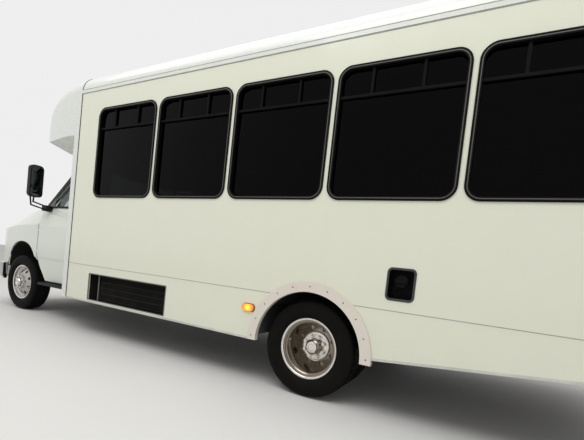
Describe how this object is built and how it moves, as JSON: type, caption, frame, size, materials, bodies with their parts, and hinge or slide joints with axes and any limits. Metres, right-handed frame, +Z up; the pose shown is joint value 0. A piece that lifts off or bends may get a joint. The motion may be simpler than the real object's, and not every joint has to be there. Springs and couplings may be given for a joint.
{
  "type": "shuttle bus",
  "caption": "White cutaway shuttle bus: van front and cab, boxy passenger body with moulded front cap, steered front wheels, twin rear wheels, cab, entry and rear doors that open.",
  "frame": {"origin": "on the ground, under the middle of the bus's bounding box", "axes": "+X forward, +Y to the bus's left, +Z up"},
  "size_m": [7.63, 2.544, 2.865],
  "materials": {
    "body_white": "smooth satin white",
    "cap_white": "moulded white",
    "trim_black": "grained black",
    "lamp_clear": "clear lens",
    "lamp_red": "red lens",
    "lamp_amber": "amber lens",
    "rubber": "black rubber",
    "tyre": "worn rubber",
    "glass": "dark tint",
    "clear_glass": "clear",
    "wheel_steel": "polished",
    "chassis_black": "satin black",
    "cast": "sooty",
    "floor_grey": "grey vinyl on plywood",
    "seat_fabric": "woven",
    "grey_plastic": "grained grey",
    "step_metal": "tread",
    "exhaust_steel": "dull"
  },
  "bodies": {
    "body": {"side_wall_left": "body_white", "side_wall_right": "body_white", "skirt_left": "body_white", "skirt_right": "body_white", "wheel_flares": "cap_white", "condenser": "chassis_black", "fuel_filler": "trim_black", "window_frames": "rubber", "window_glass": "glass", "roof": "cap_white", "rear_wall": "cap_white", "floor": "floor_grey", "chassis_frame": "chassis_black", "front_axle": "chassis_black", "rear_axle": "chassis_black", "engine_block": "cast", "fuel_tank": "chassis_black", "exhaust": "exhaust_steel", "front_cap": "cap_white", "fenders": "body_white", "grille": "trim_black", "headlamps": "lamp_clear", "front_bumper": "body_white", "cab_shell": "body_white", "windshield": "clear_glass", "dashboard": "grey_plastic", "steering_wheel": "trim_black", "steps": "step_metal", "rear_bumper": "chassis_black", "tail_lamps": "lamp_red", "marker_lamps": "lamp_amber", "seat_cushions": "seat_fabric", "seat_frames": "chassis_black"},
    "hood": {"hood": "body_white"},
    "door_left": {"door_left": "body_white", "door_glass_left": "glass", "mirror_left": "trim_black"},
    "door_right": {"door_right": "body_white", "door_glass_right": "glass", "mirror_right": "trim_black"},
    "entry_leaf_front": {"entry_leaf_front": "chassis_black", "entry_glass_front": "glass"},
    "entry_leaf_rear": {"entry_leaf_rear": "chassis_black", "entry_glass_rear": "glass"},
    "rear_door": {"rear_door": "body_white", "rear_door_glass": "glass"},
    "knuckle_left": {"knuckle_left": "cast"},
    "knuckle_right": {"knuckle_right": "cast"},
    "wheel_front_left": {"tyre_front_left": "tyre", "rim_front_left": "wheel_steel"},
    "wheel_front_right": {"tyre_front_right": "tyre", "rim_front_right": "wheel_steel"},
    "wheels_rear_left": {"tyres_rear_left": "tyre", "rims_rear_left": "wheel_steel"},
    "wheels_rear_right": {"tyres_rear_right": "tyre", "rims_rear_right": "wheel_steel"}
  },
  "joints": [
    {"name": "steer_left", "type": "hinge", "parent": "body", "child": "knuckle_left", "pos_m": [2.985, 0.8, 0.368], "axis": [0, 0, 1], "range_deg": [-34, 34]},
    {"name": "steer_right", "type": "hinge", "parent": "body", "child": "knuckle_right", "pos_m": [2.985, -0.8, 0.368], "axis": [0, 0, 1], "range_deg": [-34, 34]},
    {"name": "spin_front_left", "type": "hinge", "parent": "knuckle_left", "child": "wheel_front_left", "pos_m": [2.985, 0.8815, 0.368], "axis": [0, 1, 0], "continuous": true},
    {"name": "spin_front_right", "type": "hinge", "parent": "knuckle_right", "child": "wheel_front_right", "pos_m": [2.985, -0.8815, 0.368], "axis": [0, 1, 0], "continuous": true},
    {"name": "spin_rear_left", "type": "hinge", "parent": "body", "child": "wheels_rear_left", "pos_m": [-1.485, 0.9345, 0.368], "axis": [0, 1, 0], "continuous": true},
    {"name": "spin_rear_right", "type": "hinge", "parent": "body", "child": "wheels_rear_right", "pos_m": [-1.485, -0.9345, 0.368], "axis": [0, 1, 0], "continuous": true},
    {"name": "hood_hinge", "type": "hinge", "parent": "body", "child": "hood", "pos_m": [2.679, 0, 1.38], "axis": [0, -1, 0], "range_deg": [0, 50]},
    {"name": "door_left_hinge", "type": "hinge", "parent": "body", "child": "door_left", "pos_m": [2.616, 0.996, 0.955], "axis": [0, 0, -1], "range_deg": [0, 68]},
    {"name": "door_right_hinge", "type": "hinge", "parent": "body", "child": "door_right", "pos_m": [2.616, -0.996, 0.955], "axis": [0, 0, 1], "range_deg": [0, 68]},
    {"name": "entry_front_hinge", "type": "hinge", "parent": "body", "child": "entry_leaf_front", "pos_m": [1.362, -1.199, 0.395], "axis": [0, 0, 1], "range_deg": [0, 88]},
    {"name": "entry_rear_hinge", "type": "hinge", "parent": "body", "child": "entry_leaf_rear", "pos_m": [0.528, -1.199, 0.395], "axis": [0, 0, 1], "range_deg": [-88, 0]},
    {"name": "rear_door_hinge", "type": "hinge", "parent": "body", "child": "rear_door", "pos_m": [-3.717, -0.456, 1.5], "axis": [0, 0, 1], "range_deg": [0, 100]}
  ],
  "couplings": [
    {"joint": "steer_right", "follows": "steer_left", "ratio": 1},
    {"joint": "entry_rear_hinge", "follows": "entry_front_hinge", "ratio": -1}
  ]
}
